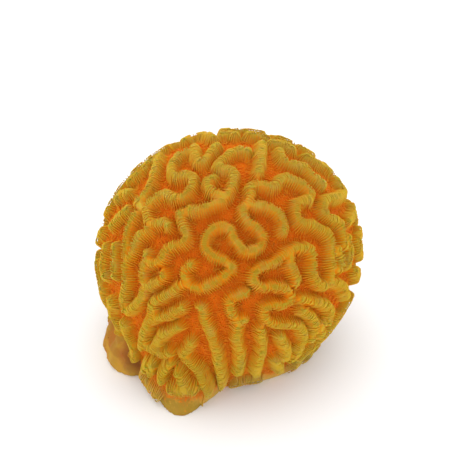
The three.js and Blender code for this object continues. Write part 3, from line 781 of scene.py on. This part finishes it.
def tissue_group(colours):
    """Colour of the living skin from how high on a ridge it is, where it is on the colony and how worn;
    painted shade in the crease and small pits.
    """
    inputs = {"Place": ("NodeSocketVector", None)}
    inputs.update((name, ("NodeSocketFloat", 0.0)) for name in ("Ridge", "Toe", "Foot", "Tip", "Shade"))
    tree, sheet, given, wanted = new_group("Coral Tissue", "ShaderNodeTree", inputs,
                                           {"Color": "NodeSocketColor", "Grain": "NodeSocketFloat"})
    place, ridge, tip, toe = (given[name] for name in ("Place", "Ridge", "Tip", "Toe"))
    shown = {name: screen_colour(getattr(colours, name)) for name in CoralColours.__annotations__}
    above_cut = sheet.add("ShaderNodeSeparateXYZ", {0: place}).outputs["Z"]
    mottle = sheet.noise(place, *MOTTLE_NOISE)
    patch = sheet.noise(place, *PATCH_NOISE)

    height = sheet.plus(ridge, sheet.spread(mottle, *MOTTLE_SHIFT))
    height = sheet.plus(height, sheet.spread(patch, *PATCH_SHIFT))
    height = sheet.plus(height, sheet.spread(sheet.distance(place, FACE_MIDDLE), *AWAY_SHIFT))
    height = sheet.plus(height, sheet.times(given["Shade"], SHADE_SHIFT))
    height = sheet.math("ADD", height, sheet.times(tip, TIP_SHIFT), clamp=True)
    height = sheet.math("MAXIMUM", height, sheet.spread(ridge, *CREST_LEAST))
    ramp = sheet.add("ShaderNodeValToRGB", {0: height})
    elements = ramp.color_ramp.elements
    while len(elements) < len(RAMP_STOPS):
        elements.new(0.5)
    for element, position, name in zip(elements, RAMP_STOPS, ("valley_floor", "valley", "flank", "crest")):
        element.position = position
        element.color = shown[name]

    pale = sheet.times(sheet.spread(patch, *PALE_PATCH), sheet.spread(ridge, *PALE_RIDGE))
    far = sheet.times(sheet.spread(above_cut, *FAR_HEIGHT), sheet.spread(ridge, *FAR_RIDGE))
    ragged = sheet.plus(above_cut, sheet.spread(mottle, *RAGGED_HEIGHT))
    worn = sheet.times(sheet.spread(ragged, *WORN_HEIGHT), sheet.spread(ridge, *WORN_RIDGE))
    swell = sheet.plus(sheet.noise(place, *TOE_NOISE), sheet.spread(above_cut, *TOE_HEIGHT))
    swell = sheet.spread(swell, *TOE_SWELL)
    smooth_toe = sheet.mix(swell, shown["toe"], shown["toe_lip"])
    # Painted shade in the crease between the toes, deepest at its darkest part and only on the toe
    crease = sheet.spread(sheet.distance(place, CREASE_SHADE_CENTRE), *CREASE_SHADE_REACH)
    # Painted shade of small pits: dark spots where PIT_NOISE is low
    pits = sheet.spread(sheet.noise(place, *PIT_NOISE), *PIT_EDGE)
    layers = (
        (sheet.times(pale, PALE_SHARE), shown["pale_crest"]),
        (sheet.times(far, FAR_SHARE), shown["pale_crest"]),
        (sheet.times(tip, sheet.spread(ridge, *SPECK_RIDGE)), shown["speck"]),
        (sheet.times(tip, sheet.spread(ridge, *TIP_RIDGE)), shown["blade_tip"]),
        (worn, shown["worn"]),
        (sheet.times(toe, TOE_SHARE), smooth_toe),
        (sheet.times(toe, crease), shown["crease"]),
        (sheet.times(given["Foot"], sheet.spread(ragged, *BARE_HEIGHT)), shown["foot"]),
        (sheet.times(pits, PIT_SHARE), shown["pit"]),
    )
    tissue = ramp.outputs["Color"]
    for share, colour in layers:
        tissue = sheet.mix(share, tissue, colour)
    sheet.feed(wanted["Color"], tissue)
    fine = sheet.noise(place, *FINE_NOISE)
    sheet.feed(wanted["Grain"], sheet.plus(sheet.times(mottle, MOTTLE_GRAIN), fine))
    return tree


def tissue_material(name, group, grain_depth, has_tips):
    """A matt, slightly soft coral finish that takes its colour from the tissue group."""
    material = bpy.data.materials.new(name)
    material.use_nodes = True
    material.node_tree.nodes.clear()
    sheet = NodeSheet(material.node_tree)
    place = sheet.add("ShaderNodeTexCoord").outputs["Object"]

    def field(attribute):
        return sheet.add("ShaderNodeAttribute", attribute_name=attribute).outputs["Fac"]

    inputs = {"Place": place, "Ridge": field("ridge"), "Toe": field("toe"), "Foot": field("foot")}
    if has_tips:
        inputs.update(Tip=field("tip"), Shade=field("shade"))
    tissue = sheet.add("ShaderNodeGroup", node_tree=group)
    for socket, value in inputs.items():
        sheet.feed(tissue.inputs[socket], value)
    bump = sheet.add("ShaderNodeBump", {"Strength": 0.8, "Distance": grain_depth,
                                        "Height": tissue.outputs["Grain"]})
    roughness = sheet.spread(tissue.outputs["Grain"], *ROUGH_RANGE)
    shader = sheet.add("ShaderNodeBsdfPrincipled", {
        "Base Color": tissue.outputs["Color"], "Roughness": roughness, "Normal": bump.outputs["Normal"],
        "Specular IOR Level": 0.1, "Subsurface Weight": 0.6, "Subsurface Radius": (1.0, 0.3, 0.06),
        "Subsurface Scale": 0.0012,
    })
    sheet.add("ShaderNodeOutputMaterial", {"Surface": shader.outputs["BSDF"]})
    return material


def coral_group():
    found = bpy.data.node_groups.get("Coral Tissue")
    return found or tissue_group(bpy.context.scene.coral_colours)


def finished(piece, modifier_tree, inputs, name):
    """The piece's mesh as its node tree makes it, on a plain object that stands in for the colony."""
    modifier = piece.modifiers.new("Build", "NODES")
    modifier.node_group = modifier_tree
    for item in modifier_tree.interface.items_tree:
        if item.item_type == "SOCKET" and item.in_out == "INPUT" and item.name in inputs:
            modifier[item.identifier] = inputs[item.name]
    bpy.context.view_layer.update()
    evaluated = piece.evaluated_get(bpy.context.evaluated_depsgraph_get())
    mesh = bpy.data.meshes.new_from_object(evaluated)
    mesh.name = name
    source = piece.data
    bpy.data.objects.remove(piece)
    bpy.data.meshes.remove(source)
    return new_object(name, mesh)


def join_colony(piece):
    """Makes a piece part of the colony: it rides with it and stands for it."""
    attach(piece, "root")
    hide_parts("brain_coral")


def blade_tree():
    """Sweeps a thin wedge along each path, as tall as the path says."""
    inputs = {
        "Geometry": ("NodeSocketGeometry", None),
        "Foot Thickness": ("NodeSocketFloat", 0.35),
        "Edge Thinning": ("NodeSocketFloat", EDGE_THINNING),
        "Material": ("NodeSocketMaterial", None),
    }
    tree, sheet, given, wanted = new_group("Blades On Paths", "GeometryNodeTree", inputs,
                                           {"Geometry": "NodeSocketGeometry"})
    wedge = sheet.add("GeometryNodeCurvePrimitiveQuadrilateral", {
        "Bottom Width": given["Foot Thickness"], "Height": 1 + ROOT_DEPTH,
        "Top Width": sheet.times(given["Foot Thickness"], given["Edge Thinning"]), "Offset": 0.0,
    }, mode="TRAPEZOID").outputs["Curve"]
    wedge = sheet.mark_tips(wedge, sheet.spread(sheet.position("Y"), 0.0, 0.5))
    wedge = sheet.add("GeometryNodeTransform", {
        "Geometry": wedge, "Rotation": (0, 0, -math.pi / 2), "Translation": ((1 - ROOT_DEPTH) / 2, 0, 0),
    }).outputs[0]
    path = sheet.add("GeometryNodeMeshToCurve", {"Mesh": given["Geometry"]}).outputs[0]
    path = sheet.add("GeometryNodeSetCurveNormal", {
        "Curve": path, "Normal": sheet.read("blade_up", "FLOAT_VECTOR"),
    }, mode="FREE").outputs[0]
    blades = sheet.add("GeometryNodeCurveToMesh", {
        "Curve": path, "Profile Curve": wedge, "Scale": sheet.read("stand"), "Fill Caps": True,
    }).outputs[0]
    sheet.end_with(wanted, blades, given["Material"])
    return tree


def grain_tree():
    """Strews small blunt grains over the valleys of the skin."""
    inputs = {
        "Geometry": ("NodeSocketGeometry", None),
        "Grain Spacing": ("NodeSocketFloat", 0.0008),
        "Grain Size": ("NodeSocketFloat", 0.0003),
        "Seed": ("NodeSocketInt", GRAIN_SEED),
        "Material": ("NodeSocketMaterial", None),
    }
    tree, sheet, given, wanted = new_group("Valley Grains", "GeometryNodeTree", inputs,
                                           {"Geometry": "NodeSocketGeometry"})
    strewn = sheet.add("GeometryNodeDistributePointsOnFaces", {
        "Mesh": given["Geometry"], "Distance Min": given["Grain Spacing"], "Density Max": 4e6,
        "Density Factor": sheet.read("grain_share"), "Seed": given["Seed"],
    }, distribute_method="POISSON")
    grain = sheet.add("GeometryNodeMeshCone", {
        "Vertices": 5, "Radius Top": 0.35, "Radius Bottom": 1.0, "Depth": 1.6,
    }, fill_type="NGON").outputs["Mesh"]
    grain = sheet.mark_tips(grain, sheet.spread(sheet.position("Z"), *GRAIN_TIP))
    scale = sheet.add("FunctionNodeRandomValue", {"Seed": given["Seed"]}, data_type="FLOAT")
    sheet.feed(scale.inputs[2], GRAIN_VARIETY[0])
    sheet.feed(scale.inputs[3], GRAIN_VARIETY[1])
    grains = sheet.add("GeometryNodeInstanceOnPoints", {
        "Points": strewn.outputs["Points"], "Instance": grain, "Rotation": strewn.outputs["Rotation"],
        "Scale": sheet.times(scale.outputs[1], given["Grain Size"]),
    }).outputs[0]
    sheet.end_with(wanted, grains, given["Material"])
    return tree


def length_property(name, description, default):
    return FloatProperty(name=name, description=description, default=default, unit="LENGTH", min=0)


class CoralSizes(bpy.types.PropertyGroup):
    """Sizes of the colony's skin and of what stands on it."""

    skin_parts: IntProperty(
        name="Skin Fineness", description="Parts that each edge of the skin's ball is cut into",
        default=92, min=20, max=95)
    ridge_height: length_property(
        "Ridge Height", "Height of the ridges over the valleys, without their blades", 0.0037)
    sponge_depth: length_property(
        "Sponge Depth", "Unevenness of the skin between the blades", 0.0004)
    blade_spacing: length_property(
        "Blade Spacing", "Distance between blades, midway up a ridge", 0.00102)
    blade_height: length_property(
        "Blade Height", "How far the blades stand out of the top of a ridge", 0.00048)
    blade_thickness: length_property(
        "Blade Thickness", "Thickness of a blade where it leaves the skin", 0.0003)
    grain_spacing: length_property(
        "Grain Spacing", "Least distance between grains in the valleys", 0.00076)
    grain_size: length_property("Grain Size", "Radius of a grain at its foot", 0.0003)


def colour_property(name, description, default):
    return FloatVectorProperty(name=name, description=description, default=default, subtype="COLOR_GAMMA",
                               min=0, max=1)


class CoralColours(bpy.types.PropertyGroup):
    """Colours of the living skin, as seen on a screen, and the painted shade of the crease and of small pits.
    """

    valley_floor: colour_property("Valley Floor", "Deepest part of the valleys", (0.81, 0.39, 0.01))
    valley: colour_property("Valley", "Lower flanks", (0.86, 0.48, 0.03))
    flank: colour_property("Flank", "Upper flanks", (0.82, 0.525, 0.05))
    crest: colour_property("Crest", "Tops of the ridges", (0.735, 0.60, 0.13))
    pale_crest: colour_property("Pale Crest", "Paler stretches of the crests", (0.77, 0.65, 0.32))
    blade_tip: colour_property("Blade Tip", "Free edges of the blades", (0.765, 0.655, 0.22))
    speck: colour_property("Speck", "Grains and blade edges in the valleys", (0.84, 0.54, 0.16))
    # Painted shade: the dark inside small pits
    pit: colour_property("Pit", "Small dark pits", (0.50, 0.36, 0.10))
    toe: colour_property("Toe", "Folds of the smoother left toe", (0.62, 0.42, 0.17))
    toe_lip: colour_property("Toe Lip", "Swells and lower edge of the left toe", (0.70, 0.54, 0.19))
    # Painted shade: the colour that darkens the deep crease beside the left toe
    crease: colour_property("Crease", "The deep crease beside the left toe", (0.46, 0.235, 0.10))
    foot: colour_property("Foot", "The bare foot at the front", (0.63, 0.50, 0.17))
    worn: colour_property("Worn", "Worn lower ends of the ribs", (0.74, 0.61, 0.30))


class CORAL_OT_skin(bpy.types.Operator):
    """Build the ridged skin of the colony"""

    bl_idname = "coral.skin"
    bl_label = "Colony Skin"

    def execute(self, context):
        skin = colony_skin()
        fields = skin.fields(skin.base, skin.ridge)
        sponge = noise_at(skin.base, SPONGE_SPAN) * skin.sizes.sponge_depth
        sponge *= lerp(1, CREST_SPONGE, smooth(skin.ridge, *SPONGE_CALM))
        lumps = LUMP_HEIGHT * fields["toe"] * noise_at(skin.base, LUMP_SPAN)
        points = skin.raised(skin.directions, skin.base, skin.ridge, sponge + lumps - skin.sizes.sponge_depth)
        piece = new_object("colony_skin", new_mesh("colony_skin", points, skin.faces, fields=fields))
        piece.data.shade_smooth()
        piece.data.materials.append(tissue_material("coral_skin", coral_group(), SKIN_GRAIN, False))
        join_colony(piece)
        skin.surface = points
        return {"FINISHED"}


def blade_rows(skin):
    """The blades' paths on the skin, a row for each blade, and the fields that shape and colour them."""
    sizes = skin.sizes
    paths = skin.flank_paths(sizes.blade_spacing)
    grid = paths.shape[:2]
    directions = unit(paths.reshape(-1, 3) - HEART)
    base = body_points(directions)
    flat_ridge = skin.pattern.ridge_at(base)
    surface = skin.raised(directions, base, flat_ridge).reshape(paths.shape)
    ridge, relief = flat_ridge.reshape(grid), skin.relief(base).reshape(grid)
    heading = unit(np.gradient(surface, axis=1))
    up = outward(base).reshape(paths.shape)
    up = up - heading * (up * heading).sum(axis=2, keepdims=True)
    steep = np.linalg.norm(up, axis=2)
    random = np.random.default_rng(BLADE_SEED)
    edge = (sizes.ridge_height + sizes.blade_height) * smooth(ridge, *BLADE_CLIMB)
    stand = edge - sizes.ridge_height * smooth(ridge, *WALL_CLIMB)
    stand = np.maximum(stand * steep * lerp(LOW_RELIEF_STAND, 1, relief), LEAST_STAND)
    stand *= random.uniform(*BLADE_VARIETY, (len(paths), 1)) * random.uniform(*POINT_VARIETY, grid)
    shade = np.repeat(random.uniform(-1, 1, (len(paths), 1)), BLADE_POINTS, axis=1)
    toe = share_of(LEFT_TOE, base).reshape(grid).max(axis=1)
    kept = (surface[:, :, 2].min(axis=1) > LOWEST_BLADE) & (relief.min(axis=1) > LEAST_RELIEF)
    kept &= toe < MOST_TOE
    fields = skin.fields(base.reshape(paths.shape)[kept].reshape(-1, 3), ridge[kept].ravel())
    rows = {name: values.reshape(-1, BLADE_POINTS) for name, values in fields.items()}
    rows.update(shade=shade[kept], stand=stand[kept], blade_up=unit(up)[kept])
    return surface[kept], rows


class CORAL_OT_blades(bpy.types.Operator):
    """Stand the fine blades across the ridges, in a few meshes of like size"""

    bl_idname = "coral.blades"
    bl_label = "Ridge Blades"

    def execute(self, context):
        skin = colony_skin()
        surface, rows = blade_rows(skin)
        tree = blade_tree()
        settings = {"Foot Thickness": skin.sizes.blade_thickness / FULL_STAND, "Edge Thinning": EDGE_THINNING,
                    "Material": tissue_material("coral_blades", coral_group(), SMALL_GRAIN, True)}
        batches = np.array_split(np.arange(len(surface)), BLADE_PIECES)
        for number, batch in enumerate(batches, 1):
            index = np.arange(len(batch) * BLADE_POINTS).reshape(-1, BLADE_POINTS)
            edges = np.stack([index[:, :-1].ravel(), index[:, 1:].ravel()], axis=1)
            fields = {
                name: values[batch].reshape(index.size, *values.shape[2:]) for name, values in rows.items()
            }
            mesh = new_mesh("blade_paths", surface[batch].reshape(-1, 3), edges=edges.tolist(), fields=fields)
            blades = finished(new_object("blade_paths", mesh), tree, settings, f"ridge_blades_{number}")
            join_colony(blades)
        return {"FINISHED"}


class CORAL_OT_grains(bpy.types.Operator):
    """Strew grains over the valleys"""

    bl_idname = "coral.grains"
    bl_label = "Valley Grains"

    def execute(self, context):
        skin = colony_skin()
        fields = skin.fields(skin.base, skin.ridge)
        mesh = new_mesh("grain_ground", skin.surface, skin.faces, fields=fields)
        settings = {"Grain Spacing": skin.sizes.grain_spacing, "Grain Size": skin.sizes.grain_size,
                    "Seed": GRAIN_SEED,
                    "Material": tissue_material("coral_grains", coral_group(), SMALL_GRAIN, True)}
        join_colony(finished(new_object("grain_ground", mesh), grain_tree(), settings, "valley_grains"))
        return {"FINISHED"}


class CORAL_OT_stage(bpy.types.Operator):
    """Set the pale floor, the soft lights and the camera"""

    bl_idname = "coral.stage"
    bl_label = "Stage"

    def execute(self, context):
        scene = context.scene
        corners = [(x * FLOOR_REACH, y * FLOOR_REACH, 0) for x, y in ((-1, -1), (1, -1), (1, 1), (-1, 1))]
        floor = new_object("floor", new_mesh("floor", corners, [(0, 1, 2, 3)]))
        material = bpy.data.materials.new("pale_floor")
        material.use_nodes = True
        shader = material.node_tree.nodes["Principled BSDF"]
        shader.inputs["Base Color"].default_value = (0.93, 0.93, 0.93, 1)
        shader.inputs["Roughness"].default_value = 0.9
        floor.data.materials.append(material)
        world = bpy.data.worlds.new("soft_room")
        world.use_nodes = True
        room = world.node_tree.nodes["Background"]
        room.inputs["Color"].default_value = (1, 1, 1, 1)
        room.inputs["Strength"].default_value = WORLD_LIGHT
        scene.world = world
        for name, place, size, power in LIGHTS:
            lamp = bpy.data.lights.new(name, "AREA")
            lamp.size = size
            lamp.energy = power
            light = new_object(name, lamp)
            light.location = place
            light.rotation_euler = (Vector(AIM) - light.location).to_track_quat("-Z", "Y").to_euler()
        camera = bpy.data.cameras.new("camera")
        camera.sensor_width = SENSOR_WIDTH
        camera.lens = SENSOR_WIDTH * EYE_DISTANCE / (PICTURE_SIZE * PIXEL)
        eye = new_object("camera", camera)
        eye.location = AIM + VIEW_BACK * EYE_DISTANCE
        eye.rotation_euler = (math.pi / 2 - VIEW_TILT, 0, 0)
        scene.camera = eye
        scene.view_settings.view_transform = "Standard"
        return {"FINISHED"}


class CORAL_PT_colony(bpy.types.Panel):
    """Lists the steps that build the colony, with their sizes and colours"""

    bl_idname = "CORAL_PT_colony"
    bl_label = "Brain Coral"
    bl_space_type = "VIEW_3D"
    bl_region_type = "UI"
    bl_category = "Coral"

    def draw(self, context):
        layout = self.layout
        for settings in (context.scene.coral_sizes, context.scene.coral_colours):
            for name in settings.__annotations__:
                layout.prop(settings, name)
        for step in STEPS:
            layout.operator(step.bl_idname)


STEPS = (CORAL_OT_skin, CORAL_OT_blades, CORAL_OT_grains, CORAL_OT_stage)
CLASSES = (CoralSizes, CoralColours, *STEPS, CORAL_PT_colony)


def register():
    for item in CLASSES:
        bpy.utils.register_class(item)
    bpy.types.Scene.coral_sizes = PointerProperty(type=CoralSizes)
    bpy.types.Scene.coral_colours = PointerProperty(type=CoralColours)


def unregister():
    del bpy.types.Scene.coral_colours
    del bpy.types.Scene.coral_sizes
    for item in reversed(CLASSES):
        bpy.utils.unregister_class(item)


def main():
    register()
    bpy.ops.coral.skin()
    bpy.ops.coral.blades()
    bpy.ops.coral.grains()
    bpy.ops.coral.stage()
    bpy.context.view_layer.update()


if __name__ == "__main__":
    main()
